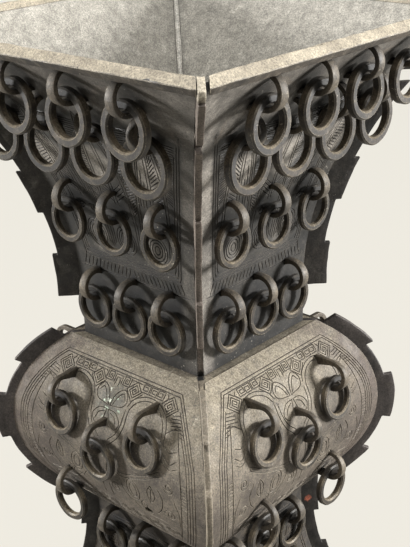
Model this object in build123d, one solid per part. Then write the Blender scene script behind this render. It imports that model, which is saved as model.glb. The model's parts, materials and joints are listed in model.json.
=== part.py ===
from build123d import *
from collections import namedtuple
import math
import os

# Square bronze gu vase: flaring neck, round-sided belly and flaring foot, each made of four
# cast panels that are joined at the corners by toothed flange plates. Hooked straps on every
# face carry loose rings. Millimetres, +Z up, origin at the middle of the foot's rest plane.
# Sections are drawn with their first coordinate outwards (n) and their second upwards (z).

# Walls
wall = 4.6
waist_half = 51.0
shelf = 4.0
floor_thickness = 4.0
floor_play = 1.0

# Foot: straight top, flare of constant radius, upright base band
foot_straight = 12.0
foot_flare_drop = 118.0
foot_flare_run = 35.8
base_band_height = 25.0
base_band_step = 5.0

# Belly: one round arc from bottom to top, standing out past the waist
belly_height = 118.0
belly_shoulder = 6.0
belly_swell = 30.0

# Neck: straight bottom, flare of constant radius, square-cut lip bar with one cracked end
neck_straight = 30.0
neck_flare_rise = 160.8
neck_flare_run = 65.8
lip_thickness = 7.3
lip_length = 7.0
lip_crack = 1.5

# Corner flanges: plate thickness, reach past the wall's corner, and tooth places as shares of
# the flanged height (of the half arc on the belly). A deep notch lies under the neck's top tooth.
flange_thickness = 4.0
neck_flange_base = 7.0
neck_flange_tooth = 9.4
neck_teeth = [(0.13, 0.28), (0.425, 0.565), (0.84, 0.98)]
neck_notch = 6.5
belly_flange_base = 3.0
belly_flange_tooth = 7.0
belly_teeth = [(-0.94, -0.565), (-0.226, 0.226), (0.565, 0.94)]
foot_flange_base = 4.5
foot_flange_tooth = 7.0
foot_teeth = [(0.05, 0.17), (0.34, 0.56), (0.77, 1.0)]

# Rings: outside diameter and wire, with a size of their own for the neck's top row
top_ring = 31.5
large_ring = 34.0
large_wire = 6.0
small_ring = 29.0
small_wire = 5.5
ring_clearance = 0.4

# Hooked straps that carry the rings: the eye's radius past the wire's, the wire's height above
# the bottom of the eye, and its distance from the wall
strap_width = 6.6
strap_thickness = 2.8
strap_rise = 13.5
eye_room = 4.4
eye_seat_gap = 1.0
eye_standoff = 5.2
corner_margin = 20.0

# Heights of the ring rows, given where their wires hang in the eyes
neck_top_row_drop = 14.0
neck_row_pitch = 23.0
neck_bottom_row_rise = 36.5
belly_upper_row_angle = 24.5
belly_middle_row_angle = 10.5
belly_lower_row_angle = -25.0
foot_top_row_drop = 19.0
foot_bottom_row_rise = 30.0

# Free space between the rings of a row
neck_top_ring_gap = 10.0
neck_second_ring_gap = 4.0
neck_third_ring_gap = 8.5
neck_bottom_ring_gap = 1.2
belly_ring_gap = 41.0
foot_ring_gap = 1.2

# The front belly panel lost its lower strap beside the front corner and shows a torn hole
lost_row = "belly_rings_lower"
lost_face = "front"
torn_hole_width = 7.0
torn_hole_height = 4.5
torn_hole_rise = 9.6

face_turns = {"right": 0, "back": 90, "left": 180, "front": -90}

# Levels that follow from the sizes above
foot_arc_z = base_band_height + foot_flare_drop
foot_height = foot_arc_z + foot_straight
belly_mid = foot_height + belly_height / 2
neck_bottom = foot_height + belly_height
neck_arc_z = neck_bottom + neck_straight
neck_arc_top = neck_arc_z + neck_flare_rise
throat_half = waist_half - wall
belly_end_half = waist_half + belly_shoulder
mitre_setback = flange_thickness / math.sqrt(2)
plain_corner = -mitre_setback / 2
reach = 2 * (waist_half + neck_flare_run + foot_flare_run + belly_shoulder + belly_swell)


def arc_radius(run, rise):
    """Radius of an arc that starts upright and ends run sideways and rise further along."""
    return (run ** 2 + rise ** 2) / (2 * run)


foot_radius = arc_radius(foot_flare_run, foot_flare_drop)
neck_radius = arc_radius(neck_flare_run, neck_flare_rise)
belly_radius = arc_radius(belly_swell, belly_height / 2)
belly_centre = belly_end_half + belly_swell - belly_radius
foot_sweep = math.asin(foot_flare_drop / foot_radius)
neck_sweep = math.asin(neck_flare_rise / neck_radius)
belly_sweep = math.asin(belly_height / 2 / belly_radius)
inner_belly_sweep = math.asin((belly_height / 2 - shelf) / (belly_radius - wall))


# Points of the walls

def neck_point(angle, out=0.0):
    """Point on the neck's flare, moved out of the wall's outside by a normal distance."""
    radius = neck_radius - out
    return (waist_half + neck_radius - radius * math.cos(angle), neck_arc_z + radius * math.sin(angle))


def foot_point(angle, out=0.0):
    """Point on the foot's flare, moved out of the wall's outside by a normal distance."""
    radius = foot_radius - out
    return (waist_half + foot_radius - radius * math.cos(angle), foot_arc_z - radius * math.sin(angle))


def belly_point(angle, out=0.0):
    """Point on the belly's arc, moved out of the wall's outside by a normal distance."""
    radius = belly_radius + out
    return (belly_centre + radius * math.cos(angle), belly_mid + radius * math.sin(angle))


def lip_point(out, along):
    """Point of the lip bar, given out of the wall's outside and along from the flare's end."""
    n, z = neck_point(neck_sweep, out)
    return (n + along * math.sin(neck_sweep), z + along * math.cos(neck_sweep))


def half_at(z, out=0.0):
    """Half-width of the vase at a height, moved out of the wall by a normal distance."""
    if foot_height < z < neck_bottom:
        return belly_centre + math.sqrt((belly_radius + out) ** 2 - (z - belly_mid) ** 2)
    if z >= neck_bottom:
        radius, along = neck_radius, max(z - neck_arc_z, 0.0)
    else:
        radius, along = foot_radius, max(foot_arc_z - z, 0.0)
    return waist_half + radius - math.sqrt((radius - out) ** 2 - along ** 2)


def wall_gap(n, z):
    """Distance from a point outside the vase to the wall beside it."""
    if z > neck_arc_z:
        return neck_radius - math.hypot(n - waist_half - neck_radius, z - neck_arc_z)
    if foot_height < z < neck_bottom:
        return math.hypot(n - belly_centre, z - belly_mid) - belly_radius
    if z < foot_arc_z:
        return foot_radius - math.hypot(n - waist_half - foot_radius, foot_arc_z - z)
    return n - waist_half


# Wall sections

def straight(start, middle, end):
    """Whether three points lie in a row."""
    across = (middle[0] - start[0]) * (end[1] - start[1]) - (middle[1] - start[1]) * (end[0] - start[0])
    return abs(across) < 1e-6


def upright_face(points):
    """Upright face inside an outline; a group of two points is an arc's middle and end."""
    edges = []
    start = points[0]
    for step in points[1:] + points[:1]:
        is_arc = isinstance(step[0], tuple)
        end = step[1] if is_arc else step
        if is_arc and not straight(start, *step):
            edges.append(ThreePointArc(start, *step))
        else:
            edges.append(Line(start, end))
        start = end
    return make_face([Plane.XZ * edge for edge in edges])


def neck_section():
    """Neck wall: upright stretch, then the flare, cut square at its top."""
    half = neck_sweep / 2
    return upright_face([
        (throat_half, neck_bottom),
        (waist_half, neck_bottom),
        (waist_half, neck_arc_z),
        (neck_point(half), neck_point(neck_sweep)),
        neck_point(neck_sweep, -wall),
        (neck_point(half, -wall), (throat_half, neck_arc_z)),
    ])


def belly_section():
    """Belly wall, with a shelf at each end that the neck and the foot seat on."""
    return upright_face([
        (throat_half, foot_height),
        (belly_end_half, foot_height),
        (belly_point(0), (belly_end_half, neck_bottom)),
        (throat_half, neck_bottom),
        (throat_half, neck_bottom - shelf),
        belly_point(inner_belly_sweep, -wall),
        (belly_point(0, -wall), belly_point(-inner_belly_sweep, -wall)),
        (throat_half, foot_height + shelf),
    ])


def foot_section():
    """Foot wall, with the upright base band that it stands on."""
    half = foot_sweep / 2
    flare_end = foot_point(foot_sweep)
    inner_end = foot_point(foot_sweep, -wall)
    band_half = flare_end[0] + base_band_step
    return upright_face([
        (throat_half, foot_height),
        (waist_half, foot_height),
        (waist_half, foot_arc_z),
        (foot_point(half), flare_end),
        (band_half, base_band_height),
        (band_half, 0),
        (inner_end[0], 0),
        inner_end,
        (foot_point(half, -wall), (throat_half, foot_arc_z)),
    ])


def lip_section():
    """Lip bar: square-cut, flush with the wall's inside and proud of its outside."""
    proud = lip_thickness - wall
    return upright_face([
        lip_point(-wall, 0),
        lip_point(proud, 0),
        lip_point(proud, lip_length),
        lip_point(-wall, lip_length),
    ])


# Panels, lips and floor

def wedge():
    """Upright prism between the two mitre planes of the right face, clear of the flanges."""
    far = reach - mitre_setback
    outline = Polyline((mitre_setback, 0), (reach, far), (reach, -far), close=True)
    return extrude(make_face(outline), amount=2 * reach)


def mitred(section):
    """Run of a wall section along the right face, mitred at both ends."""
    return extrude(section, amount=reach, both=True) & wedge()


def on_face(shape, face):
    """Shape of the right face, turned to another face."""
    return Rot(0, 0, face_turns[face]) * shape


def torn_hole(row):
    """Oval hole where the upper end of the lost strap tore out of the wall."""
    hole = extrude(Ellipse(torn_hole_height / 2, torn_hole_width / 2), amount=reach)
    return Pos(0, row.pitch / 2, row.z + torn_hole_rise) * Rot(0, 90, 0) * hole


def cracked(lip):
    """Right lip, parted from the front corner's flange by a crack."""
    crack = Box(2 * reach, flange_thickness + 2 * lip_crack, 4 * reach)
    return lip - Rot(0, 0, -45) * crack


def cup_floor():
    """Square plate on the belly's lower shelf that closes the cup."""
    side = 2 * (belly_point(-inner_belly_sweep, -wall)[0] - floor_play)
    plate = Box(side, side, floor_thickness, align=(Align.CENTER, Align.CENTER, Align.MIN))
    return Pos(0, 0, foot_height + shelf) * plate


# Corner flanges

def diagonal(point):
    """Point of a face's section, moved onto the upright plane through the corner."""
    return (point[0] * math.sqrt(2), point[1])


def stepped_edge(spans, curve):
    """Outer edge of a flange: an arc along the curve for each span of (start, end, reach)."""
    edge = []
    for start, end, out in spans:
        edge.append(diagonal(curve(start, out)))
        edge.append((diagonal(curve((start + end) / 2, out)), diagonal(curve(end, out))))
    return edge


def spans_between(low, high, teeth, base, tooth):
    """Spans of (start, end, reach) from low to high that rise to tooth height at the teeth."""
    cuts = [low] + [share for pair in teeth for share in pair] + [high]
    spans = zip(cuts, cuts[1:], [base, tooth] * len(cuts))
    return [span for span in spans if span[1] > span[0]]


def corner_plates(outline, hollow):
    """Four flange plates at the corners, cut back to the inside of the walls."""
    inside = extrude(hollow, amount=reach, both=True)
    inside = inside & Rot(0, 0, 90) * inside
    plate = extrude(outline, amount=flange_thickness / 2, both=True)
    plate = Rot(0, 0, 45) * plate - inside
    return [Rot(0, 0, turn) * plate for turn in face_turns.values()]


def neck_flanges():
    """Toothed plates at the neck's corners, plain at the waist and closing the lip's corners."""
    def curve(share, out):
        z = neck_bottom + share * (neck_arc_top - neck_bottom)
        return (half_at(z) + out, z)

    spans = spans_between(0, 1, neck_teeth, neck_flange_base, neck_flange_tooth)
    spans[0] = (*spans[0][:2], plain_corner)
    low, high, base = spans[-3]
    notch = high - neck_notch / (neck_arc_top - neck_bottom)
    spans[-3:-2] = [(low, notch, base), (notch, high, plain_corner)]
    top_in = lip_point(-wall, lip_length)
    outline = upright_face([
        (throat_half, neck_bottom),
        *stepped_edge(spans, curve),
        diagonal(lip_point(lip_thickness - wall, lip_length)),
        diagonal(top_in),
        (throat_half, top_in[1]),
    ])
    half = neck_sweep / 2
    beyond = lip_point(-wall, 2 * lip_length)
    hollow = upright_face([
        (-reach, neck_bottom - shelf),
        (throat_half, neck_bottom - shelf),
        (throat_half, neck_arc_z),
        (neck_point(half, -wall), neck_point(neck_sweep, -wall)),
        beyond,
        (-reach, beyond[1]),
    ])
    return corner_plates(outline, hollow)


def belly_flanges():
    """Toothed plates round the belly's corners."""
    def curve(share, out):
        angle = share * belly_sweep
        if out > 0:
            return belly_point(angle, out)
        n, z = belly_point(angle)
        return (n + out, z)

    spans = spans_between(-1, 1, belly_teeth, belly_flange_base, belly_flange_tooth)
    spans[0] = (*spans[0][:2], plain_corner)
    spans[-1] = (*spans[-1][:2], plain_corner)
    outline = upright_face([
        (throat_half, foot_height),
        *stepped_edge(spans, curve),
        (throat_half, neck_bottom),
    ])
    hollow = upright_face([
        (-reach, foot_height - shelf),
        (throat_half, foot_height - shelf),
        (throat_half, foot_height + shelf),
        belly_point(-inner_belly_sweep, -wall),
        (belly_point(0, -wall), belly_point(inner_belly_sweep, -wall)),
        (throat_half, neck_bottom - shelf),
        (throat_half, neck_bottom + shelf),
        (-reach, neck_bottom + shelf),
    ])
    return corner_plates(outline, hollow)


def foot_flanges():
    """Toothed plates at the foot's corners, plain on the base band."""
    def curve(share, out):
        z = base_band_height + share * (foot_height - base_band_height)
        return (half_at(z) + out, z)

    spans = spans_between(0, 1, foot_teeth, foot_flange_base, foot_flange_tooth)
    band = foot_point(foot_sweep)[0] + base_band_step + plain_corner
    outline = upright_face([
        (throat_half, 0),
        diagonal((band, 0)),
        diagonal((band, base_band_height)),
        *stepped_edge(spans, curve),
        (throat_half, foot_height),
    ])
    half = foot_sweep / 2
    inner_end = foot_point(foot_sweep, -wall)
    hollow = upright_face([
        (-reach, -base_band_height),
        (inner_end[0], -base_band_height),
        inner_end,
        (foot_point(half, -wall), (throat_half, foot_arc_z)),
        (throat_half, foot_height + shelf),
        (-reach, foot_height + shelf),
    ])
    return corner_plates(outline, hollow)


# Straps and rings

Row = namedtuple("Row", "name n z count pitch ring wire")


def ring_row(name, n, z, count, ring, wire, gap):
    """Row of like rings, with as many of them as fit between the corner margins."""
    pitch = ring + gap
    fitting = 1 + int(2 * (half_at(z) - corner_margin) / pitch)
    return Row(name, n, z, min(count, fitting), pitch, ring, wire)


def level_row(name, z, *rest):
    """Row on the neck or the foot, given by the height of its eyes."""
    return ring_row(name, half_at(z, eye_standoff), z, *rest)


def belly_row(name, angle, *rest):
    """Row on the belly, given by its angle on the belly's arc."""
    return ring_row(name, *belly_point(math.radians(angle), eye_standoff), *rest)


def all_rows():
    """Ring rows of one face, by section, from the top down."""
    top = neck_arc_top - neck_top_row_drop
    second = top - neck_row_pitch
    bottom = neck_bottom + neck_bottom_row_rise
    foot_top = foot_height - foot_top_row_drop
    foot_bottom = base_band_height + foot_bottom_row_rise
    small = (small_ring, small_wire)
    return {
        "neck": [
            level_row("neck_rings_top", top, 4, top_ring, large_wire, neck_top_ring_gap),
            level_row("neck_rings_second", second, 4, large_ring, large_wire, neck_second_ring_gap),
            level_row("neck_rings_third", (second + bottom) / 2, 3, *small, neck_third_ring_gap),
            level_row("neck_rings_bottom", bottom, 3, *small, neck_bottom_ring_gap),
        ],
        "belly": [
            belly_row("belly_rings_upper", belly_upper_row_angle, 2, *small, belly_ring_gap),
            belly_row("belly_ring_middle", belly_middle_row_angle, 1, *small, 0),
            belly_row("belly_rings_lower", belly_lower_row_angle, 2, *small, belly_ring_gap),
        ],
        "foot": [
            level_row("foot_rings_top", foot_top, 3, *small, foot_ring_gap),
            level_row("foot_rings_middle", (foot_top + foot_bottom) / 2, 3, *small, foot_ring_gap),
            level_row("foot_rings_bottom", foot_bottom, 4, *small, foot_ring_gap),
        ],
    }


def places(row, face):
    """Sideways places of a row's rings on a face."""
    count = row.count
    if row.name == lost_row and face == lost_face:
        count -= 1
    return [(index - (row.count - 1) / 2) * row.pitch for index in range(count)]


def strap(row, section):
    """Hooked strap: leaves the wall above the ring, goes round its wire and back to the wall.

    Only the stretch outside the wall is kept.
    """
    bore = row.wire / 2 + eye_room
    eye_z = row.z + eye_room - eye_seat_gap
    high = row.z + strap_rise

    def hull(radius, top):
        feet = [(half_at(z) - wall / 2, z) for z in (top, eye_z - radius)]
        rim = CenterArc((row.n, eye_z), radius, 0, 360)
        return make_hull([rim, Line(*feet)])

    loop = hull(bore + strap_thickness, high) - hull(bore, high - 2 * strap_thickness)
    outside = (Plane.XZ * loop - section).faces().sort_by(Axis.X)[-1]
    return extrude(outside, amount=strap_width / 2, both=True)


def hang_angle(row):
    """Outward lean in degrees at which a row's rings hang clear of the wall below their eyes."""
    drop = row.ring - row.wire
    clear = row.wire / 2 + ring_clearance
    lean_step = 0.2
    samples = 20
    downs = [drop * index / samples for index in range(samples // 4, samples + 1)]
    lean = 0.0
    while min(wall_gap(row.n + down * math.sin(math.radians(lean)),
                       row.z - down * math.cos(math.radians(lean))) for down in downs) < clear:
        lean += lean_step
    return lean


def ring(row):
    """One ring, hung in an eye at the sideways middle of the right face."""
    mean = (row.ring - row.wire) / 2
    hoop = Pos(0, 0, -mean) * Rot(0, 90, 0) * Torus(mean, row.wire / 2)
    return Pos(row.n, 0, row.z) * Rot(0, -hang_angle(row), 0) * hoop


# Assembly

def main():
    """Makes every node of the vase, as a name and its solids, and writes it."""
    nodes = {}
    rows = all_rows()
    sections = {"neck": neck_section(), "belly": belly_section(), "foot": foot_section()}
    hole = torn_hole(next(row for row in rows["belly"] if row.name == lost_row))

    for part, section in sections.items():
        panel = mitred(section)
        for face in face_turns:
            torn = part == "belly" and face == lost_face
            nodes[f"{face}_{part}_panel"] = [on_face(panel - hole if torn else panel, face)]

    lip = mitred(lip_section())
    nodes["mouth_lips"] = [on_face(cracked(lip) if face == "right" else lip, face) for face in face_turns]
    nodes["cup_floor"] = [cup_floor()]
    nodes["neck_flanges"] = neck_flanges()
    nodes["belly_flanges"] = belly_flanges()
    nodes["foot_flanges"] = foot_flanges()

    for part, part_rows in rows.items():
        straps = nodes[f"{part}_straps"] = []
        for row in part_rows:
            hook = strap(row, sections[part])
            hoop = ring(row)
            for face in face_turns:
                spots = places(row, face)
                straps += [on_face(Pos(0, spot, 0) * hook, face) for spot in spots]
                nodes[f"{face}_{row.name}"] = [on_face(Pos(0, spot, 0) * hoop, face) for spot in spots]

    os.makedirs("parts", exist_ok=True)
    for name, shapes in nodes.items():
        solids = [solid for shape in shapes for solid in shape.solids()]
        export_step(Compound(solids), f"parts/{name}.step")
    return nodes


if __name__ == "__main__":
    main()
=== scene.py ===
import json
import math

import bmesh
import bpy
import numpy as np
from mathutils import Matrix, Vector, geometry, kdtree, noise


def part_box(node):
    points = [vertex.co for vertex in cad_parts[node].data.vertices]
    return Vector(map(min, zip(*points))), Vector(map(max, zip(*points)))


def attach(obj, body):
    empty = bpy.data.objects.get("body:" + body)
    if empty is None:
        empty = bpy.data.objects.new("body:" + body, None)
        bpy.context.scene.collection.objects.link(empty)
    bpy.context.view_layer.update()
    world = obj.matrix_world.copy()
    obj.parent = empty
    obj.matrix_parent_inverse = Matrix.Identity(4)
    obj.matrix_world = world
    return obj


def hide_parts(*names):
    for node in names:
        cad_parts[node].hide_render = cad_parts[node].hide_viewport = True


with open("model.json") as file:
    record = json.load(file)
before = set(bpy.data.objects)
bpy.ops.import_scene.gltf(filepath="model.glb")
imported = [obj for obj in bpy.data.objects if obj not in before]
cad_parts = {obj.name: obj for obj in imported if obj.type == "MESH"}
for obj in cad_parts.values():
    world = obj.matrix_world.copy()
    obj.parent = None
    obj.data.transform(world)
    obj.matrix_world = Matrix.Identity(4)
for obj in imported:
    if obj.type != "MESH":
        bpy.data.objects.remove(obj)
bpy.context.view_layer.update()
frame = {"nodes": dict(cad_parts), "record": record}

mm = 0.001
nodes = frame["nodes"]
face_turns = {"right": 0, "back": 90, "left": 180, "front": -90}
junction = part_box("right_neck_panel")[0].z

# The photograph's view: angles in degrees, distances in metres
image_height = 547
focal_pixels = 1085.66
view_azimuth = 42.137
view_pitch = 23.084
view_roll = -1.624
view_distance = 0.6857
aim_side = 0.0078
aim_above_junction = 0.0353

# Lamps: place and side in metres, power in watts
LAMPS = {
    "left_light": ((-1.6, -1.25, 0.75), 0.3, 66),
    "right_light": ((1.5, 1.25, 0.75), 0.45, 100),
    "front_light": ((1.7, -0.9, 1.7), 0.5, 3),
    "top_light": ((0.2, -0.3, 2.0), 1.5, 53),
}

# The surround's colour and its strength as light and as the camera sees it
surround_colour = (0.87, 0.84, 0.79, 1)
surround_light = 0.04
surround_seen = 1.0

# The floor's half width in metres, and the share of it that glows for the camera and in reflections
floor_half = 8.0
floor_glow = 0.86

# The walls' outer curves, in millimetres and radians: a straight run and an arc, but only an arc on the belly
waist_half = 51.0
mitre_room = 2.83
neck_bottom, neck_straight, neck_radius, neck_sweep = 273.0, 30.0, 229.38, 0.777
belly_centre, belly_mid, belly_radius, belly_sweep = 13.98, 214.0, 73.017, 0.941
foot_top, foot_straight, foot_radius, foot_sweep = 155.0, 12.0, 212.37, 0.589
torn_hole_middle, torn_hole_half = (35.0, -23.9), (3.5, 2.38)

# Carved walls, in millimetres: the grooves, the slab they are cut in and the spacing of its corners
groove_half = 0.38
groove_depth = 0.55
slab_depth = 1.2
core_sink = 0.8
side_pitch = 3.0
end_pitch = 3.2
groove_pitch = 1.6
grid_pitch = 3.2
grid_margin = 1.5
grid_clearance = 1.3
rim_slack, face_slack, end_slack = 0.02, 0.1, 0.2
wall_dent, wall_dent_width = 0.16, 17

# Straps, flanges, lips and floor, in millimetres: rounded edges, then the grid and depth of dents
strap_bevel = 1.2
flange_bevel, flange_dents = 0.8, (5, 0.5)
lip_bevel, lip_dents, floor_dents = 0.7, (5, 0.6), (4, 0.8)
dent_width = 7
corner_weld, bevel_weld = 0.001, 0.01

# Least angle of an edge that is rounded, in degrees
sharp_edge = 38

# Share of a strap's width that is kept, and how much of that its upper end loses
STRAP_WIDTHS = {"neck": (0.95, 0.25), "belly": (0.85, 0.5), "foot": (0.95, 0.25)}
FLANGE_LOOKS = {"neck": "flanges", "belly": "belly_flanges", "foot": "flanges"}

# Rings, in millimetres: the radius past which the wire is heavy, and half the wire outward and along the axis
heavy_ring = 15.2
heavy_wire, light_wire = (2.5, 2.7), (2.1, 2.2)
wire_chamfer = 0.9
wire_wear, wire_wear_width = 0.3, 11
ring_steps = 60


# Camera, light and floor

def add_camera():
    """Camera at the photograph's place, aimed a little above the joint of neck and belly."""
    azimuth, pitch, roll = (math.radians(a) for a in (view_azimuth, view_pitch, view_roll))
    back = Vector((math.sin(azimuth) * math.cos(pitch), -math.cos(azimuth) * math.cos(pitch),
                   math.sin(pitch)))
    level = Vector((math.cos(azimuth), math.sin(azimuth), 0))
    climb = back.cross(level)
    right = math.cos(roll) * level + math.sin(roll) * climb
    up = math.cos(roll) * climb - math.sin(roll) * level
    place = aim_side * level + Vector((0, 0, junction + aim_above_junction)) + view_distance * back
    camera = bpy.data.objects.new("camera", bpy.data.cameras.new("camera"))
    camera.data.sensor_width = 36
    camera.data.lens = focal_pixels / image_height * camera.data.sensor_width
    camera.matrix_world = Matrix.Translation(place) @ Matrix((right, up, back)).transposed().to_4x4()
    bpy.context.scene.collection.objects.link(camera)
    bpy.context.scene.camera = camera


def add_lamp(name, place, side, power):
    """Square soft light at a place, aimed at the joint of neck and belly."""
    lamp = bpy.data.lights.new(name, "AREA")
    lamp.size = side
    lamp.energy = power
    holder = bpy.data.objects.new(name, lamp)
    holder.location = place
    holder.rotation_euler = (Vector((0, 0, junction)) - Vector(place)).to_track_quat("-Z", "Y").to_euler()
    bpy.context.scene.collection.objects.link(holder)


def add_light():
    """A low light beside each face in view, a faint one in front, a wide one above and a pale surround."""
    for name, (place, side, power) in LAMPS.items():
        add_lamp(name, place, side, power)
    world = bpy.data.worlds.new("surround")
    world.use_nodes = True
    tree = world.node_tree
    background = tree.nodes["Background"]
    background.inputs["Color"].default_value = surround_colour
    strength = tree.nodes.new("ShaderNodeMapRange")
    strength.inputs["To Min"].default_value = surround_light
    strength.inputs["To Max"].default_value = surround_seen
    tree.links.new(tree.nodes.new("ShaderNodeLightPath").outputs["Is Camera Ray"], strength.inputs["Value"])
    tree.links.new(strength.outputs["Result"], background.inputs["Strength"])
    bpy.context.scene.world = world


def add_floor():
    """Plain pale floor, wide enough to be the background, that looks even and keeps the vessel's shadow."""
    corners = [(-1, -1), (1, -1), (1, 1), (-1, 1)]
    mesh = bpy.data.meshes.new("floor")
    mesh.from_pydata([(x * floor_half, y * floor_half, 0) for x, y in corners], [], [(0, 1, 2, 3)])
    floor = bpy.data.objects.new("floor", mesh)
    make = Nodes("pale_floor")
    make.shader.inputs["Base Color"].default_value = tone(100, 98, 93)
    make.shader.inputs["Roughness"].default_value = 0.9
    rays = make.add("ShaderNodeLightPath").outputs
    mirrored = make.maths("MAXIMUM", rays["Is Glossy Ray"], rays["Is Transmission Ray"])
    seen = make.maths("MAXIMUM", rays["Is Camera Ray"], mirrored)
    glow = make.add("ShaderNodeEmission", {"Color": tone(250, 246, 235), "Strength": 1.0})
    blend = make.add("ShaderNodeMixShader", {0: make.times(seen, floor_glow),
                                             1: make.shader.outputs["BSDF"], 2: glow.outputs["Emission"]})
    make.tree.links.new(blend.outputs["Shader"], make.tree.nodes["Material Output"].inputs["Surface"])
    mesh.materials.append(make.material)
    bpy.context.scene.collection.objects.link(floor)


# Materials

class Nodes:
    """Adds shader nodes to one material and links them."""

    def __init__(self, name):
        self.material = bpy.data.materials.new(name)
        self.material.use_nodes = True
        self.tree = self.material.node_tree
        self.shader = self.tree.nodes["Principled BSDF"]
        self.place = self.add("ShaderNodeTexCoord").outputs["Object"]

    def add(self, kind, links=None, **values):
        """Node of a kind with its own values, and its sockets linked or set."""
        node = self.tree.nodes.new(kind)
        for key, value in values.items():
            setattr(node, key, value)
        for socket, source in (links or {}).items():
            if isinstance(source, bpy.types.NodeSocket):
                self.tree.links.new(source, node.inputs[socket])
            else:
                node.inputs[socket].default_value = source
        return node

    def noise(self, size, detail=4.0, roughness=0.55, stretch=None):
        """Noise whose spots are about size metres wide, from 0 to 1."""
        place = self.place
        if stretch:
            place = self.add("ShaderNodeMapping", {"Vector": place, "Scale": stretch}).outputs["Vector"]
        node = self.add("ShaderNodeTexNoise",
                        {"Vector": place, "Scale": 1 / size, "Detail": detail, "Roughness": roughness})
        return node.outputs["Fac"]

    def between(self, value, low, high, least=0.0, most=1.0):
        """Value stretched so that low gives the least and high the most."""
        node = self.add("ShaderNodeMapRange", {"Value": value, "From Min": low, "From Max": high,
                                               "To Min": least, "To Max": most})
        return node.outputs["Result"]

    def mix(self, share, first, second):
        """Colour from first to second by a share."""
        return self.add("ShaderNodeMix", {0: share, 6: first, 7: second}, data_type="RGBA").outputs[2]

    def maths(self, operation, first, second):
        """Result of a sum on two numbers."""
        return self.add("ShaderNodeMath", {0: first, 1: second}, operation=operation).outputs[0]

    def times(self, first, second):
        """Product of two numbers."""
        return self.maths("MULTIPLY", first, second)

    def vectors(self, operation, first, second):
        """Node for a sum on two vectors."""
        return self.add("ShaderNodeVectorMath", {0: first, 1: second}, operation=operation)

    def mark(self, name):
        """Share painted on the mesh under a name."""
        return self.add("ShaderNodeAttribute", attribute_name=name).outputs["Fac"]

    def part(self, source, axis):
        """One coordinate of a vector."""
        return self.add("ShaderNodeSeparateXYZ", {"Vector": source}).outputs[axis]


def tone(red, green, blue):
    """Colour for a shader from the red, green and blue that a screen shows, 0 to 255."""
    def linear(value):
        share = value / 255
        return share / 12.92 if share <= 0.04045 else ((share + 0.055) / 1.055) ** 2.4
    return (linear(red), linear(green), linear(blue), 1)


# Single marks on the vessel, in metres: the crust on the belly, then place, ragged edge, radius and colour
flower_spot = (0.001, -0.077, 0.25)
# Black spot of painted shade where the corner is broken open
broken_corner_shade = ((0.051, -0.051, 0.2735), 0.004, 0.0055, tone(10, 9, 8))
wax_spot = ((0.0545, 0.0515, 0.1355), 0.006, 0.006, tone(200, 118, 94))

# The front corner's plates, by x less y, and the levels where the mouth's colour begins, in metres
front_from, front_full = 0.06, 0.09
mouth_from, mouth_full = 0.4605, 0.4625

# Reach of the pale edges and of the painted shade in hollows, and height of the cast grain and dents, in
# millimetres
edge_reach, hollow_reach = 0.6, 14
grain_height, dent_height = 0.25, 0.6


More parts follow.
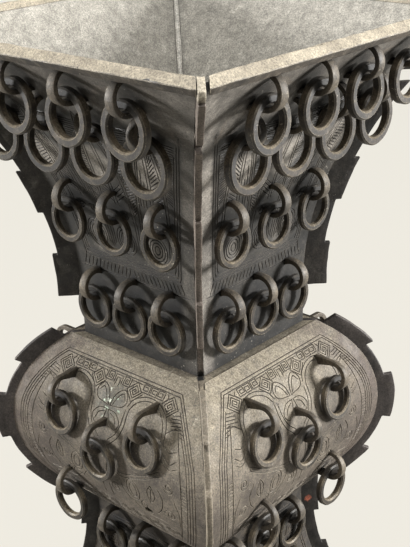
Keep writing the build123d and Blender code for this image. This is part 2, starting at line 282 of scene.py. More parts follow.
class Patina(Nodes):
    """Old bronze, painted in coats over a blotched and pitted base."""

    def __init__(self, name, dark, plain, worn):
        super().__init__(name)
        self.dark, self.plain, self.worn = dark, plain, worn
        self.facing = self.add("ShaderNodeNewGeometry").outputs["Normal"]
        self.veins = self.between(self.noise(0.012, 6, 0.7, (1, 1, 0.5)), 0.42, 0.6)
        blotch = self.between(self.noise(0.03, 6, 0.6), 0.34, 0.66)
        self.colour = self.mix(blotch, dark, plain)
        pitting = self.between(self.noise(0.0022, 5, 0.7), 0.52, 0.36)
        self.coat(self.times(pitting, 0.6), dark)

    def coat(self, share, paint):
        """Lays paint over a share of the colour so far."""
        self.colour = self.mix(share, self.colour, paint)

    def veined(self, share, base, paint):
        """Paint broken up by veins that hold a share of a base."""
        return self.mix(self.veins, self.mix(share, paint, base), paint)

    def away_from(self, middle, grain, ragged):
        """Distance from a place, made uneven by a noise."""
        distance = self.vectors("DISTANCE", self.place, middle).outputs["Value"]
        return self.maths("ADD", distance, self.times(grain, ragged))

    def dust_and_light_upward(self, paint):
        """Dust and painted light from above on what faces up, and painted shade at the marked places."""
        # Dust and painted light from above, on the faces that look up
        lying = self.between(self.part(self.facing, "Z"), 0.05, 0.75)
        self.coat(self.times(lying, self.between(self.noise(0.004, 6, 0.7), 0.2, 0.7)), paint)
        # Painted shade, a reddish dark, on the belly's far borders and lower part
        border_shade = self.times(self.mark("border_shade"), self.between(self.noise(0.01, 6, 0.7), 0.25, 0.6))
        self.coat(border_shade, self.mix(0.5, self.dark, tone(84, 70, 64)))

    def paint_pale_and_lit(self, paint):
        """Pale metal at the marked places: partly wear and partly painted light."""
        self.coat(self.mark("pale"), self.veined(0.5, self.plain, paint))

    def cloud_inside(self, paint):
        """Cloudy pale metal on the faces towards the vessel's axis."""
        flat_place = self.vectors("MULTIPLY", self.place, (1, 1, 0)).outputs[0]
        outward = self.vectors("DOT_PRODUCT", self.facing, flat_place).outputs["Value"]
        cloud = self.between(self.noise(0.012, 8, 0.75), 0.3, 0.7)
        clouded = self.mix(cloud, self.mix(0.6, self.plain, paint), paint)
        self.coat(self.between(outward, 0.002, -0.01), clouded)

    def wear_front(self, paint, top):
        """Worn plate at the front corner, with another colour where it ends at the mouth."""
        toward = self.maths("SUBTRACT", self.part(self.place, "X"), self.part(self.place, "Y"))
        self.coat(self.between(toward, front_from, front_full), self.veined(0.35, self.dark, paint))
        self.coat(self.between(self.part(self.place, "Z"), mouth_from, mouth_full), top)

    def wear_top(self, paint):
        """Veined wear on the faces that look up."""
        self.coat(self.between(self.part(self.facing, "Z"), 0.35, 0.6), self.veined(0.4, self.plain, paint))

    def add_crust(self, middle):
        """A dark spot with specks of green and white."""
        near = self.between(self.away_from(middle, self.noise(0.008, 4), 0.012), 0.02, 0.013)
        self.coat(self.times(near, 0.6), tone(58, 60, 54))
        specks = self.times(near, self.between(self.noise(0.003, 3, 0.6), 0.62, 0.66))
        self.coat(specks, self.mix(self.veins, tone(150, 168, 146), tone(222, 222, 206)))

    def add_marks(self):
        """Mottled wear all over, a black spot of painted shade at the broken corner, and the wax."""
        mottle = self.between(self.noise(0.005, 6, 0.7), 0.5, 0.72)
        self.coat(self.times(mottle, 0.25), self.worn)
        for middle, ragged, radius, paint in (broken_corner_shade, wax_spot):
            away = self.away_from(middle, self.noise(0.003, 3), ragged)
            self.coat(self.between(away, radius, 0.8 * radius), paint)

    def wear_and_highlight_edges(self):
        """Pale edges in patches: partly wear and partly painted highlight."""
        rounded = self.add("ShaderNodeBevel", {"Radius": edge_reach * mm}, samples=4).outputs["Normal"]
        flat = self.vectors("DOT_PRODUCT", rounded, self.facing).outputs["Value"]
        patches = self.between(self.noise(0.012, 4), 0.3, 0.55)
        # Pale edges, partly wear and partly painted highlight
        self.coat(self.times(self.times(self.between(flat, 0.99, 0.88), patches), 0.75), self.worn)

    def dirt_and_shade_in_grooves(self, paint):
        """Dirt and painted shade in the carved lines, in patches."""
        patches = self.between(self.noise(0.02, 4), 0.25, 0.5)
        filled = self.times(self.between(self.mark("groove"), 0.05, 0.8), patches)
        # Dirt and painted shade in the grooves
        self.coat(self.times(filled, 0.85), paint)

    def paint_hollow_shade(self, open_share, closed_share):
        """Painted shade from where a hollow begins to where it is deep, and on the marked ring tops that
        their straps shade.
        """
        # Painted shade: near black where nearby parts hem the surface in, such as under straps and round
        # rings
        hollow = self.add("ShaderNodeAmbientOcclusion", {"Distance": hollow_reach * mm}, samples=6)
        shaded = self.between(hollow.outputs["AO"], open_share, closed_share)
        buried = self.maths("MAXIMUM", shaded, self.mark("strap_shade"))
        deep = tuple(0.4 * share for share in self.dark[:3]) + (1,)
        self.coat(self.times(buried, 0.85), deep)

    def add_grit(self, dust):
        """Fine and coarse grit that darkens and lightens the colour, and specks of dust."""
        for size, least, most in ((0.001, 0.55, 1.45), (0.006, 0.85, 1.15)):
            level = self.between(self.noise(size, 6, 0.7), 0.36, 0.64, least, most)
            scaled = self.add("ShaderNodeVectorMath", {0: self.colour, "Scale": level}, operation="SCALE")
            self.colour = scaled.outputs[0]
        specks = self.between(self.noise(0.0016, 3, 0.6), 0.66, 0.72)
        self.coat(self.times(specks, self.between(self.noise(0.05, 3), 0.45, 0.65)), dust)

    def finish(self, metal, rough):
        """Links the colour, an uneven gloss and a fine cast grain with shallow dents."""
        self.tree.links.new(self.colour, self.shader.inputs["Base Color"])
        self.shader.inputs["Metallic"].default_value = metal
        gloss = self.between(self.noise(0.009, 5), 0.3, 0.7, rough - 0.1, rough + 0.1)
        self.tree.links.new(gloss, self.shader.inputs["Roughness"])
        grain = self.add("ShaderNodeBump", {"Height": self.noise(0.0018, 6, 0.7), "Strength": 0.45,
                                            "Distance": grain_height * mm})
        dents = self.add("ShaderNodeBump", {"Height": self.noise(0.007, 4), "Strength": 0.4,
                                            "Distance": dent_height * mm, "Normal": grain.outputs["Normal"]})
        self.tree.links.new(dents.outputs["Normal"], self.shader.inputs["Normal"])


def bronze(name, dark, plain, worn, dust, *, groove=None, pale=None, inside=None, top=None, front=None,
           dust_and_top_light=None, spot=None, metal=0.1, rough=0.62, hollow_shade=(0.75, 0.2)):
    """Old bronze with the coats that a kind of piece shows, each named by its colour or place."""
    patina = Patina(name, dark, plain, worn)
    if dust_and_top_light:
        patina.dust_and_light_upward(dust_and_top_light)
    if pale:
        patina.paint_pale_and_lit(pale)
    if inside:
        patina.cloud_inside(inside)
    if front:
        patina.wear_front(front, top)
    elif top:
        patina.wear_top(top)
    if spot:
        patina.add_crust(spot)
    patina.add_marks()
    patina.wear_and_highlight_edges()
    if groove:
        patina.dirt_and_shade_in_grooves(groove)
    patina.paint_hollow_shade(*hollow_shade)
    patina.add_grit(dust)
    patina.finish(metal, rough)
    return patina.material


MATERIALS = {
    "neck": bronze("dark_bronze", tone(26, 25, 23), tone(56, 53, 48), tone(110, 102, 92), tone(170, 163, 151),
                   groove=tone(14, 13, 12), pale=tone(156, 149, 139), inside=tone(150, 146, 136), rough=0.55,
                   hollow_shade=(0.9, 0.48)),
    "foot": bronze("foot_bronze", tone(30, 27, 24), tone(76, 67, 56), tone(128, 116, 97), tone(176, 166, 146),
                   groove=tone(20, 18, 16), inside=tone(96, 90, 80), hollow_shade=(0.85, 0.35)),
    "belly": bronze("grey_bronze", tone(60, 53, 46), tone(104, 95, 82), tone(142, 132, 115),
                    tone(190, 183, 167), groove=tone(58, 51, 44), inside=tone(140, 135, 125),
                    dust_and_top_light=tone(140, 131, 112), spot=flower_spot, metal=0, rough=0.75),
    "flanges": bronze("flange_bronze", tone(28, 26, 24), tone(56, 52, 48), tone(100, 92, 82),
                      tone(150, 142, 130), inside=tone(164, 160, 150), front=tone(114, 103, 93),
                      top=tone(160, 151, 133), hollow_shade=(0.55, 0.1)),
    "belly_flanges": bronze("belly_flange_bronze", tone(46, 42, 40), tone(82, 75, 71), tone(112, 104, 94),
                            tone(150, 142, 130), front=tone(132, 122, 105), top=tone(160, 151, 133)),
    "lips": bronze("pale_bronze", tone(44, 40, 36), tone(84, 76, 66), tone(178, 168, 148),
                   tone(200, 192, 176), top=tone(150, 141, 123)),
    "straps": bronze("strap_bronze", tone(46, 41, 35), tone(98, 89, 75), tone(138, 126, 106),
                     tone(180, 170, 152)),
    "rings": bronze("worn_bronze", tone(28, 25, 22), tone(56, 49, 41), tone(150, 138, 116),
                    tone(176, 167, 150), dust_and_top_light=tone(122, 110, 90), rough=0.52),
}


# Walls: half width, level and outward direction of a face, from the length along its curve

def neck_at(s):
    turn = max(s - neck_straight, 0) / neck_radius
    z = neck_bottom + min(s, neck_straight) + neck_radius * math.sin(turn)
    return waist_half + neck_radius * (1 - math.cos(turn)), z, math.cos(turn), -math.sin(turn)


def belly_at(s):
    turn = s / belly_radius
    return (belly_centre + belly_radius * math.cos(turn), belly_mid + belly_radius * math.sin(turn),
            math.cos(turn), math.sin(turn))


def foot_at(s):
    turn = max(s - foot_straight, 0) / foot_radius
    z = foot_top - min(s, foot_straight) - foot_radius * math.sin(turn)
    return waist_half + foot_radius * (1 - math.cos(turn)), z, math.cos(turn), math.sin(turn)


def room_at(wall, s):
    """Half the width of a wall's outside, between the mitres at its corners."""
    return wall(s)[0] - mitre_room


# Strokes of the ornament, in millimetres across a face and along its curve

def stroke(*points):
    """Smooth line through points."""
    knots = [np.array(p, float) for p in points]
    knots = [2 * knots[0] - knots[1], *knots, 2 * knots[-1] - knots[-2]]
    line = []
    for a, b, c, d in zip(knots, knots[1:], knots[2:], knots[3:]):
        steps = max(2, round(math.dist(b, c) / 1.4))
        for t in np.arange(steps) / steps:
            line.append(0.5 * (2 * b + (c - a) * t + (2 * a - 5 * b + 4 * c - d) * t**2
                               + (3 * b - a - 3 * c + d) * t**3))
    return np.array([*line, knots[-2]])


def turned(line, u, s, degrees):
    """Line turned about its own origin and moved to a place."""
    x, y = np.array(line).T
    cosine, sine = math.cos(math.radians(degrees)), math.sin(math.radians(degrees))
    return np.stack((u + x * cosine - y * sine, s + x * sine + y * cosine), 1)


def square_spiral(u, s, half, pitch, degrees=0, hand=1):
    """Right-angled spiral from an outer corner to its middle."""
    place, reach, side = np.array((-half, -half)), 2 * half, 0
    line = [place]
    while reach > 0.6 * pitch:
        place = place + reach * np.array(((1, 0), (0, 1), (-1, 0), (0, -1))[side % 4])
        line.append(place)
        side += 1
        if side >= 3 and side % 2:
            reach -= pitch
    return turned(np.array(line) * (hand, 1), u, s, degrees)


def curl(u, s, radius, turns, start, hand=1):
    """Round spiral from its rim to near its middle."""
    t = np.linspace(0, 1, max(8, round(radius * turns * 3.4)))
    reach, angle = radius * (1 - 0.8 * t), math.radians(start) + hand * 2 * math.pi * turns * t
    return np.stack((u + reach * np.cos(angle), s + reach * np.sin(angle)), 1)


def oval(u, s, across, along, degrees=0):
    """Closed oval round a place."""
    t = np.linspace(0, 2 * math.pi, max(10, round((across + along) * 2.4)))
    return turned(np.stack((across * np.cos(t), along * np.sin(t)), 1), u, s, degrees)


def both_sides(lines):
    """Lines and their mirror images across the middle of the face."""
    return [*lines, *(line * (-1, 1) for line in lines)]


def beside_corner(wall, margin, low, high):
    """Line beside the corner at a margin that may change along the wall."""
    places = np.linspace(low, high, round((high - low) / 2.4) + 1)
    return np.array([(room_at(wall, s) - margin(s), s) for s in places])


def slants(left, right, low, high, pitch, climb):
    """Straight strokes that climb from one curve to another."""
    lines = []
    for s in np.arange(low, high, pitch):
        start, end = left(s) + 1, right(s + climb) - 1
        if end - start > 2.2:
            lines.append(np.array(((start, s), (end, s + climb))))
    return lines


def belly_frame():
    """Nested lines round half of the belly's face, with short dashes beside them."""
    pitch = 2.1
    half = []
    for k in range(4):
        def margin(s):
            return 7.5 + pitch * k + 5.5 * min(max((s - 20) / 38, 0), 1)
        top = 59 - pitch * k
        side = beside_corner(belly_at, margin, pitch * k - 52, top)
        if k < 2:
            half += [side, np.array((side[-1], (0, top))), np.array((side[0], (0, side[0][1])))]
        else:
            half.append(side[:round(len(side) * (1.12 - 0.09 * k))])
    half.append(beside_corner(belly_at, lambda s: 18.6, -44, 40))
    for low, count in ((9, 8), (-14, 6), (40, 3)):
        for s in low - 2.2 * np.arange(count):
            middle = room_at(belly_at, s) - 16.2
            half.append(np.array(((middle - 1.7, s), (middle + 1.7, s - 0.4))))
    return half


def belly_lines():
    """Mask with horns, petals, eyes and curls in a nested frame, and square spirals above and below."""
    half = belly_frame()
    # Square spirals and short strokes under the frame
    half += [square_spiral(44.2, 49.4, 4.6, 1.5, 45), square_spiral(15.2, 49.4, 4.4, 1.5, 45, -1),
             square_spiral(35, 53.6, 2.5, 1.4), square_spiral(29, 53.6, 2.5, 1.4, 180),
             square_spiral(23, 53.6, 2.5, 1.4), square_spiral(7.2, 53.2, 2.7, 1.4, 90, -1),
             np.array(((0, 55.4), (3, 55.4), (3, 50.4))), np.array(((0, 53.8), (1.5, 53.8), (1.5, 49.8))),
             np.array(((12, 55.4), (18.6, 55.4))), np.array(((39.6, 55.6), (41, 53.4), (38.6, 50.6)))]
    half += [np.array(((48.6 + 0.7 * k, 45.6 - 1.9 * k), (54.4 + 0.8 * k, 47 - 1.9 * k))) for k in range(5)]
    # Horn over each upper strap
    half += [stroke((14.2, 40), (17.5, 45.2), (25, 49.2), (34, 49.4), (42, 45), (46.8, 38), (48, 28)),
             stroke((16.4, 38.6), (19.6, 43.4), (26, 47), (33.4, 47.2), (40, 43.2), (44.4, 37), (45.6, 29)),
             stroke((16, 36), (15.4, 27), (12, 19), (6, 13)),
             stroke((13.4, 35), (12.8, 27.6), (9.6, 20.6), (4.4, 15.6)),
             stroke((47.6, 34.4), (50.4, 36.6), (54, 39.4)), stroke((49, 22), (55, 18), (59.5, 21)),
             stroke((51, 18), (55.5, 14.6), (60, 16.6)), stroke((50, 27), (53, 24.6), (57, 26))]
    # Petals in the middle
    half += [stroke((0.6, 36), (2.6, 43.5), (8.4, 48.2), (12.6, 43.4), (10.4, 38), (0.6, 36)),
             stroke((2.6, 37.6), (5, 42.6), (8.4, 45.8), (10.6, 43)),
             stroke((0.6, 33.6), (7, 32.8), (11.4, 27.4), (8, 22.6), (3, 25.6), (0.6, 33.6)),
             stroke((3, 31.6), (6.8, 29.6), (8.4, 26))]
    # Brow, eye, leaf, curls and nose of the mask
    half += [stroke((7, -1.5), (16, -2.8), (25, -0.4), (36, 3.6), (47, 10.4)),
             stroke((9, -4), (17, -5.2), (25.6, -2.6), (36.4, 1.2), (48, 7.6)),
             oval(25, -11.4, 5, 7.6, 12), oval(25, -11.4, 2.7, 4.9, 12),
             stroke((40.8, -1.4), (37.4, -7), (39.4, -14.4), (43.6, -9), (40.8, -1.4)),
             stroke((40.6, -5), (39.8, -12)),
             curl(55.4, 2.6, 4.2, 1.5, 200), curl(54.6, -17.6, 4.2, 1.5, 160, -1),
             curl(9.4, -17, 4.4, 1.6, 60), stroke((2.4, 10), (3.6, 0), (3, -10), (3.4, -26)),
             stroke((22, -20), (32, -27), (46, -27.5), (56, -29)),
             stroke((47, -2), (50, -8), (48, -16), (44, -21)), stroke((14, -8), (16.6, -15), (22, -22)),
             curl(33, -20, 3.4, 1.3, 100), stroke((60, -6), (62.4, -14), (60.6, -24))]
    # Square spirals under the mask
    for row, s in enumerate((-36.5, -45.6)):
        for k in range(6 - row):
            half.append(square_spiral(4.9 + 9.4 * k, s, 3.8, 1.9, 90 * k, 1 if row else -1))
    return both_sides(half)


blade_base, blade_tip = 62.0, 168.0
eye_level, curl_level = 75, 93


def blade_edge(shift, side, inset):
    """Edge of a blade of the neck, across the face, from its place along the wall."""
    def edge(s):
        room = room_at(neck_at, s) - 17
        climb = min(max(s - blade_base, 0) / (blade_tip - blade_base), 1)
        return shift * 0.66 * (room + 2) + side * max(0.325 * room * (1 - climb**2.2) - inset, 0.05)
    return edge


def blade_lines(shift):
    """One blade, in the middle or beside it: outline, vein, strokes, eye and curls."""
    def run(edge, low, high):
        return np.array([(edge(s), s) for s in np.linspace(low, high, round((high - low) / 2.2))])

    vein = blade_edge(shift, 0, 0)
    lines = [run(blade_edge(shift, side, inset), blade_base + 8 + inset, blade_tip - 3 * inset)
             for inset in (0, 2) for side in (-1, 1)]
    lines += [run(lambda s, side=side: vein(s) + 1.1 * side, 101, 160) for side in (-1, 1)]
    left, right = blade_edge(shift, -1, 2.8), blade_edge(shift, 1, 2.8)
    strokes = slants(lambda s: vein(s) + 1.4, right, 103, 150 if shift else 112, 2.6, 4.5)
    lines += strokes
    if shift:
        lines += [run(lambda s, k=k: left(s) + 2.2 * k + 0.6, 104, 140 - 9 * k) for k in range(3)]
    else:
        lines += [line * (-1, 1) for line in strokes]
    for across, along in ((7.6, 9.4), (5.8, 7.4), (4.0, 5.3), (2.0, 3.0)):
        lines.append(oval(vein(eye_level), eye_level, across, along, -14 if shift else 10))
    lines += [curl(vein(curl_level) - 4.4, 92.4, 2.8, 1.3, 40),
              curl(vein(curl_level) + 4.4, 92.4, 2.8, 1.3, 140, -1)]
    return lines


def neck_lines():
    """Three rising blades with veins and eyes, close strokes between them and a nested border."""
    half = []
    for k in range(3):
        side = beside_corner(neck_at, lambda s: 10 + 1.9 * k, 61 + 2.1 * k, 165 - 17 * max(k - 1, 0))
        foot = stroke(side[0], side[0] - (1.2, 2.9), side[0] - (4, 4), (0, side[0][1] - 4))
        half.append(np.concatenate((side[::-1], foot[1:])))
    half += blade_lines(1)
    half += slants(blade_edge(0, 1, 0), blade_edge(1, -1, 0), 84, 161, 1.9, 2.4)
    half += slants(blade_edge(1, 1, 0), lambda s: room_at(neck_at, s) - 14.2, 92, 160, 1.9, -2.4)
    half += [np.array(((3.2 * k + 1.6, 54.6), (3.2 * k + 3, 50.6))) for k in range(13)]
    half.append(np.array(((0, 48.4), (room_at(neck_at, 48) - 6, 48.4))))
    return [*blade_lines(0), *both_sides(half)]


def foot_lines():
    """Rows of square spirals round a pair of eyes, in a double border."""
    half = []
    for k in range(2):
        low, high = 16 + 2.1 * k, 116 - 2.1 * k
        side = beside_corner(foot_at, lambda s: 5.5 + 2.1 * k, low, high)
        half += [side, np.array((side[0], (0, low))), np.array((side[-1], (0, high)))]
    eye_u, eye_s = 19, 52
    for across, along, degrees in ((7.4, 5.4, 12), (4.6, 3.2, 12), (1.6, 1.4, 0)):
        half.append(oval(eye_u, eye_s, across, along, degrees))
    pitch = 9.6
    for row, s in enumerate(np.arange(24.5, 110, pitch)):
        room = room_at(foot_at, s - 4) - 10
        for k in range(int(room / pitch)):
            u = 5.4 + pitch * k
            if abs(u - eye_u) > 11 or abs(s - eye_s) > 9:
                half.append(square_spiral(u, s, 3.9, 1.9, 90 * (k + row), 1 if (k + row) % 2 else -1))
    return both_sides(half)


# Carved walls

class Flat:
    """Points and edges of a wall laid flat, and the triangles between them."""

    def __init__(self, wall, holed):
        self.wall, self.holed = wall, holed
        self.points, self.edges = [], []

    def chain(self, row, closed=False):
        """Adds a row of points joined by edges, and gives the first one's number."""
        first = len(self.points)
        self.points.extend(map(tuple, row))
        self.edges.extend((first + k, first + k + 1) for k in range(len(row) - 1))
        if closed:
            self.edges.append((first + len(row) - 1, first))
        return first

    def triangles(self):
        """Corners, triangles on the wall, and the new number of each point that was given."""
        flat, _, faces, origin, _, _ = geometry.delaunay_2d_cdt(
            [Vector(p) for p in self.points], self.edges, [], 0, 1e-5)
        flat = np.array([tuple(p) for p in flat])
        faces = np.array([f for f in faces if len(f) == 3])
        centre = flat[faces].mean(1)
        room = np.array([room_at(self.wall, s) for s in centre[:, 1]])
        inside = np.abs(centre[:, 0]) < room + rim_slack
        if self.holed:
            inside &= (((centre - torn_hole_middle) / torn_hole_half) ** 2).sum(1) > 0.97
        number = {old: new for new, olds in enumerate(origin) for old in olds}
        return flat, faces[inside], number


def torn_rim():
    """Outline of the torn hole."""
    t = np.linspace(0, 2 * math.pi, 19)[:-1]
    return np.array(torn_hole_middle) + np.stack((np.cos(t), np.sin(t)), 1) * torn_hole_half


def wall_rim(wall, along):
    """Outline of a wall laid flat, from the levels along its sides."""
    reach = np.array([room_at(wall, s) for s in along])
    top = np.linspace(reach[-1], -reach[-1], round(2 * reach[-1] / end_pitch))
    bottom = np.linspace(-reach[0], reach[0], round(2 * reach[0] / end_pitch))
    return [*zip(reach, along), *((u, along[-1]) for u in top[1:]), *zip(-reach[::-1][1:], along[::-1][1:]),
            *((u, along[0]) for u in bottom[1:-1])]


def lay_groove(flat, line):
    """Adds a groove's middle and both its edges to a flat wall, and gives close points along the middle."""
    row = [line[0]]
    for a, b in zip(line, line[1:]):
        count = max(1, math.ceil(math.dist(a, b) / groove_pitch))
        row += [a + (b - a) * k / count for k in range(1, count + 1)]
    row = np.array(row)
    step = np.gradient(row, axis=0)
    step /= np.linalg.norm(step, axis=1)[:, None]
    side = np.stack((-step[:, 1], step[:, 0]), 1) * groove_half
    starts = [flat.chain(row + side * k) for k in (1, 0, -1)]
    for end in (0, len(row) - 1):
        flat.edges += [(starts[0] + end, starts[1] + end), (starts[1] + end, starts[2] + end)]
    return [a + (b - a) * t for a, b in zip(row, row[1:]) for t in np.linspace(0, 1, 8)]


def carve(wall, lines, low, high, holed):
    """A closed slab of a wall with a groove along every line.

    Gives its corners (across, along, depth), its faces and each corner's share of the groove's depth.
    """
    along = np.linspace(low, high, round((high - low) / side_pitch))
    rims = [wall_rim(wall, along)]
    if holed:
        rims.append(torn_rim())
    front = Flat(wall, holed)
    middles = [place for line in lines for place in lay_groove(front, line)]
    tree = kdtree.KDTree(len(middles))
    for k, (u, s) in enumerate(middles):
        tree.insert((u, s, 0), k)
    tree.balance()
    front_rims = [front.chain(loop, closed=True) for loop in rims]
    for row, s in enumerate(np.arange(low + grid_pitch / 2, high - 1, grid_pitch * 0.87)):
        limit = room_at(wall, s) - grid_margin
        for u in np.arange(-limit + (grid_pitch / 2 if row % 2 else 0), limit, grid_pitch):
            if tree.find((u, s, 0))[2] > grid_clearance:
                front.points.append((u, s))
    back = Flat(wall, holed)
    back_rims = [back.chain(loop, closed=True) for loop in rims]
    back.points += [(0, s) for s in along[1:-1]]

    front_flat, front_faces, front_number = front.triangles()
    back_flat, back_faces, back_number = back.triangles()
    groove = np.clip(1 - np.array([tree.find((u, s, 0))[2] for u, s in front_flat]) / groove_half, 0, 1)
    first = len(front_flat)
    skirts = []
    for loop, a, b in zip(rims, front_rims, back_rims):
        for k in range(len(loop)):
            after = (k + 1) % len(loop)
            skirts.append((front_number[a + k], front_number[a + after],
                           first + back_number[b + after], first + back_number[b + k]))
    corners = np.concatenate((np.column_stack((front_flat, groove * groove_depth)),
                              np.column_stack((back_flat, np.full(len(back_flat), slab_depth)))))
    faces = [*map(tuple, front_faces), *(tuple(f[::-1] + first) for f in back_faces), *skirts]
    return corners, faces, np.concatenate((groove, np.zeros(len(back_flat))))


def ramp(value, low, high):
    """Share from 0 at low to 1 at high."""
    return np.clip((value - low) / (high - low), 0, 1)


def border_shade_places(part, face, u, s):
    """Share of painted shade at a place: the belly's border away from the front corner, and its lower part.
    """
    if part != "belly":
        return np.zeros(len(u))
    room = np.array([room_at(belly_at, place) for place in s])
    away = u if face == "right" else -u if face == "front" else np.abs(u)
    return np.minimum(0.85 * ramp(away - room, -44, -8) + 0.4 * ramp(-s, 15, 60), 1)


# Patches of painted light on the neck inside its rings: towards the front corner, along the wall, their
# radius and strength
lit_patches = (((38.5, -4.0, -46.0), 129.0, 12.0, 0.95), ((21.5, -21.5), 72.0, 9.5, 0.45))
# Painted light in the strip by the front corner, by face
lit_strip = {"right": 0.75, "front": 0.35, "back": 0, "left": 0}


def pale_and_lit_places(part, face, u, s):
    """Share of pale metal at a place: the neck's top band, partly wear and partly painted light, with painted
    light in patches inside the rings and in the strip by the front corner.
    """
    if part != "neck":
        return np.zeros(len(u))
    # Top band: partly wear and partly painted light
    share = 0.45 * ramp(s, 164, 172)
    toward = -u if face == "right" else u
    for middles, level, reach, most in lit_patches:
        for middle in middles:
            away = np.hypot(toward - middle, s - level)
            share = np.maximum(share, most * ramp(-away, -reach - 2, 2 - reach))
    margin = np.array([room_at(neck_at, place) for place in s]) - toward
    return np.maximum(share, ramp(-margin, -9.6, -8.8) * lit_strip[face])


WALLS = {
    "neck": (neck_at, neck_lines(), 0, neck_straight + neck_radius * neck_sweep),
    "belly": (belly_at, belly_lines(), -belly_radius * belly_sweep, belly_radius * belly_sweep),
    "foot": (foot_at, foot_lines(), 0, foot_straight + foot_radius * foot_sweep),
}


def wall_length(part, z):
    """Length along a wall's curve at a level."""
    if part == "neck":
        low = neck_bottom + neck_straight
        return np.where(z < low, z - neck_bottom,
                        neck_straight + neck_radius * np.arcsin(np.clip((z - low) / neck_radius, -1, 1)))
    if part == "belly":
        return belly_radius * np.arcsin(np.clip((z - belly_mid) / belly_radius, -1, 1))
    high = foot_top - foot_straight
    return np.where(z > high, foot_top - z,
                    foot_straight + foot_radius * np.arcsin(np.clip((high - z) / foot_radius, -1, 1)))


def paint_mark(mesh, name, values):
    """Writes a share for each corner of a mesh under a name that materials read."""
    mesh.attributes.new(name, "FLOAT", "POINT").data.foreach_set("value", np.array(values, np.float32))


def turn_outward(mesh, weld=None):
    """Joins corners nearer than the weld's millimetres, where it is given, and turns all faces outward."""
    shape = bmesh.new()
    shape.from_mesh(mesh)
    if weld:
        bmesh.ops.remove_doubles(shape, verts=shape.verts, dist=weld * mm)
    bmesh.ops.recalc_face_normals(shape, faces=shape.faces)
    shape.to_mesh(mesh)
    shape.free()


def finish_piece(name, mesh, body, replaced, look, sharp_degrees=32):
    """Makes a mesh a piece of the vessel with a look, that stands for a solid and rides with its body."""
    mesh.shade_smooth()
    mesh.set_sharp_from_angle(angle=math.radians(sharp_degrees))
    piece = bpy.data.objects.new(name, mesh)
    bpy.context.scene.collection.objects.link(piece)
    mesh.materials.clear()
    mesh.materials.append(MATERIALS[look])
    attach(piece, body)
    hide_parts(replaced)


def sunk_core(solid, part, turn):
    """Corners of a wall's solid, in millimetres, with its outer face sunk a little."""
    wall, _, low, high = WALLS[part]
    core = np.zeros(len(solid.vertices) * 3)
    solid.vertices.foreach_get("co", core)
    core = core.reshape(-1, 3) / mm
    core_out = core[:, 0] * math.cos(turn) + core[:, 1] * math.sin(turn)
    for k, s in enumerate(wall_length(part, core[:, 2])):
        half, _, outward, upward = wall(s)
        if low - end_slack < s < high + end_slack and abs(core_out[k] - half) < face_slack:
            core[k] -= core_sink * np.array((outward * math.cos(turn), outward * math.sin(turn), upward))
    return core


def carved_panel(face, part, slab):
    """One wall: the solid's own shape, a little sunk on its outside, under a slab with the carved lines."""
    node = f"{face}_{part}_panel"
    wall = WALLS[part][0]
    turn = math.radians(face_turns[face])
    corners, faces, groove = slab
    across, along, depth = corners.T
    sides = np.array([wall(s) for s in along])
    dents = np.array([noise.fractal((u / wall_dent_width, s / wall_dent_width, 3.1), 0.8, 2, 3)
                      for u, s in zip(across, along)])
    depth = depth + np.where(depth < slab_depth, wall_dent * np.clip(dents + 0.6, 0, 2), 0)
    out, up = sides[:, 0] - depth * sides[:, 2], sides[:, 1] - depth * sides[:, 3]
    places = np.stack((out * math.cos(turn) - across * math.sin(turn),
                       out * math.sin(turn) + across * math.cos(turn), up), 1) * mm

    solid = nodes[node].data
    core = sunk_core(solid, part, turn)
    first = len(places)
    mesh = bpy.data.meshes.new(f"{node}_carved")
    mesh.from_pydata([*map(tuple, places), *map(tuple, core * mm)], [],
                     [*faces, *(tuple(v + first for v in polygon.vertices) for polygon in solid.polygons)])
    marks = {"groove": groove, "pale": pale_and_lit_places(part, face, across, along),
             "border_shade": border_shade_places(part, face, across, along)}
    for name, values in marks.items():
        paint_mark(mesh, name, np.concatenate((values, np.zeros(len(core)))))
    turn_outward(mesh, weld=0.002)
    finish_piece(f"{node}_carved", mesh, "vessel", node, part)


def add_panels():
    """The twelve walls, of which the belly's front one has the torn hole."""
    for part, (wall, lines, low, high) in WALLS.items():
        slab = carve(wall, lines, low, high, False)
        for face in face_turns:
            torn = (part, face) == ("belly", "front")
            carved_panel(face, part, carve(wall, lines, low, high, True) if torn else slab)


# Straps, flanges, lips and floor

def cut_and_dent(shape, grid, dent):
    """Cuts a shape's long edges down to a grid and sinks its corners unevenly, both in millimetres."""
    for _ in range(6):
        long_edges = [e for e in shape.edges if e.calc_length() > grid * mm]
        bmesh.ops.subdivide_edges(shape, edges=long_edges, cuts=1)
        bmesh.ops.triangulate(shape, faces=[f for f in shape.faces if len(f.verts) > 3])
    shape.normal_update()
    sunk = [dent * mm * (0.5 + 0.5 * noise.noise(corner.co / (dent_width * mm))) for corner in shape.verts]
    for corner, depth, away in zip(shape.verts, sunk, [v.normal.copy() for v in shape.verts]):
        corner.co -= depth * away


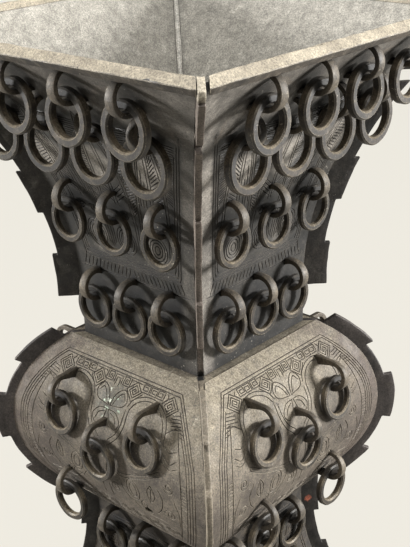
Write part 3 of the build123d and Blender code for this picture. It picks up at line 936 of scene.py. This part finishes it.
def soft_edges(node, width, dents=None):
    """Copy of a solid with its sharp edges rounded off, and dented where a grid and a depth are given."""
    shape = bmesh.new()
    shape.from_mesh(nodes[node].data)
    bmesh.ops.remove_doubles(shape, verts=shape.verts, dist=corner_weld * mm)
    bmesh.ops.dissolve_limit(shape, angle_limit=math.radians(1), verts=shape.verts, edges=shape.edges)
    least = math.radians(sharp_edge)
    sharp = [e for e in shape.edges if len(e.link_faces) == 2 and e.calc_face_angle() > least]
    bmesh.ops.bevel(shape, geom=sharp, offset=width * mm, segments=2, profile=0.5, affect="EDGES",
                    clamp_overlap=True)
    bmesh.ops.remove_doubles(shape, verts=shape.verts, dist=bevel_weld * mm)
    bmesh.ops.dissolve_degenerate(shape, edges=shape.edges, dist=bevel_weld * mm)
    bmesh.ops.triangulate(shape, faces=shape.faces)
    bmesh.ops.recalc_face_normals(shape, faces=shape.faces)
    if dents:
        cut_and_dent(shape, *dents)
    mesh = bpy.data.meshes.new(f"{node}_worn")
    shape.to_mesh(mesh)
    shape.free()
    mesh.validate()
    return mesh


def groups(shape):
    """Corners of each separate solid in a shape."""
    found, seen = [], set()
    for start in shape.verts:
        if start in seen:
            continue
        seen.add(start)
        group, queue = [], [start]
        while queue:
            corner = queue.pop()
            group.append(corner)
            for edge in corner.link_edges:
                other = edge.other_vert(corner)
                if other not in seen:
                    seen.add(other)
                    queue.append(other)
        found.append(group)
    return found


def slim_straps(mesh, width, taper):
    """Narrows every strap of a mesh to a share of its width, and by a further share towards its upper end."""
    shape = bmesh.new()
    shape.from_mesh(mesh)
    for group in groups(shape):
        places = np.array([tuple(corner.co) for corner in group])
        low, high = places.min(0), places.max(0)
        middle = (low + high) / 2
        across = 1 if abs(middle[0]) > abs(middle[1]) else 0
        for corner in group:
            climb = (corner.co.z - low[2]) / (high[2] - low[2])
            share = width * (1 - taper * climb ** 1.5)
            corner.co[across] = middle[across] + (corner.co[across] - middle[across]) * share
    shape.to_mesh(mesh)
    shape.free()


def add_fixed_pieces():
    """Straps and corner flanges of the three parts, the lips and the cup's floor."""
    for part in WALLS:
        straps, flanges = f"{part}_straps", f"{part}_flanges"
        mesh = soft_edges(straps, strap_bevel)
        slim_straps(mesh, *STRAP_WIDTHS[part])
        finish_piece(f"{straps}_worn", mesh, "vessel", straps, "straps")
        mesh = soft_edges(flanges, flange_bevel, flange_dents)
        finish_piece(f"{flanges}_worn", mesh, "vessel", flanges, FLANGE_LOOKS[part])
    for node, dents, look in (("mouth_lips", lip_dents, "lips"), ("cup_floor", floor_dents, "belly")):
        finish_piece(f"{node}_worn", soft_edges(node, lip_bevel, dents), "vessel", node, look)


# Rings

def islands(mesh):
    """Corner places of each separate solid in a mesh."""
    shape = bmesh.new()
    shape.from_mesh(mesh)
    bmesh.ops.remove_doubles(shape, verts=shape.verts, dist=corner_weld * mm)
    found = [np.array([tuple(corner.co) for corner in group]) for group in groups(shape)]
    shape.free()
    return found


def wire_section(radial_half, axial_half):
    """Corners of a wire's flat-faced section, outward and along the ring's axis."""
    quarter = ((radial_half, axial_half - wire_chamfer), (radial_half - wire_chamfer, axial_half))
    return [*quarter, *((-r, a) for r, a in quarter[::-1]), *((-r, -a) for r, a in quarter),
            *((r, -a) for r, a in quarter[::-1])]


def ring(corners):
    """An uneven ring of flat-faced wire in the place of a round one, with painted shade on its top where its
    strap is.
    """
    centre = (corners.min(0) + corners.max(0)) / 2
    axis = np.linalg.svd(corners - corners.mean(0), full_matrices=False)[2][2]
    first = np.cross(axis, (0, 0, 1.0))
    first = first / np.linalg.norm(first)
    second = np.cross(axis, first)
    lift = (corners - centre) @ axis
    outer = np.linalg.norm(corners - centre - np.outer(lift, axis), axis=1).max()
    radial_half, axial_half = heavy_wire if outer > heavy_ring * mm else light_wire
    section = wire_section(radial_half, axial_half)
    sides = len(section)
    places, faces, strap_shade = [], [], []
    for k in range(ring_steps):
        turn = 2 * math.pi * k / ring_steps
        arm = math.cos(turn) * first + math.sin(turn) * second
        seed = tuple((centre + outer * arm) / (wire_wear_width * mm))
        thin = wire_wear * (0.5 + 0.5 * noise.noise(seed))
        here, after = k * sides, (k + 1) % ring_steps * sides
        for j, (radial, axial) in enumerate(section):
            reach = outer - mm * (radial_half + thin - radial * (1 - thin / radial_half))
            places.append(tuple(centre + arm * reach + axis * mm * axial * (1 - 0.5 * thin / axial_half)))
            # Painted shade on the ring's top, where it runs inside its strap
            strap_shade.append(ramp(arm[2], 0.6, 0.85))
            beside = (j + 1) % sides
            faces.append((here + j, here + beside, after + beside, after + j))
    return places, faces, strap_shade


def add_rings():
    """Every row of rings, each riding on its own body."""
    for node in frame["record"]["behaviour"]["bodies"]:
        if node == "vessel":
            continue
        places, faces, strap_shade = [], [], []
        for corners in islands(nodes[node].data):
            more, around, ring_shade = ring(corners)
            faces += [tuple(len(places) + v for v in face) for face in around]
            places += more
            strap_shade += ring_shade
        mesh = bpy.data.meshes.new(f"{node}_cast")
        mesh.from_pydata(places, [], faces)
        # Painted shade on the ring tops, read by the ring material
        paint_mark(mesh, "strap_shade", strap_shade)
        turn_outward(mesh)
        finish_piece(f"{node}_cast", mesh, node, node, "rings", 30)


add_camera()
add_light()
add_floor()
add_panels()
add_fixed_pieces()
add_rings()

bpy.context.scene.view_settings.view_transform = "Standard"
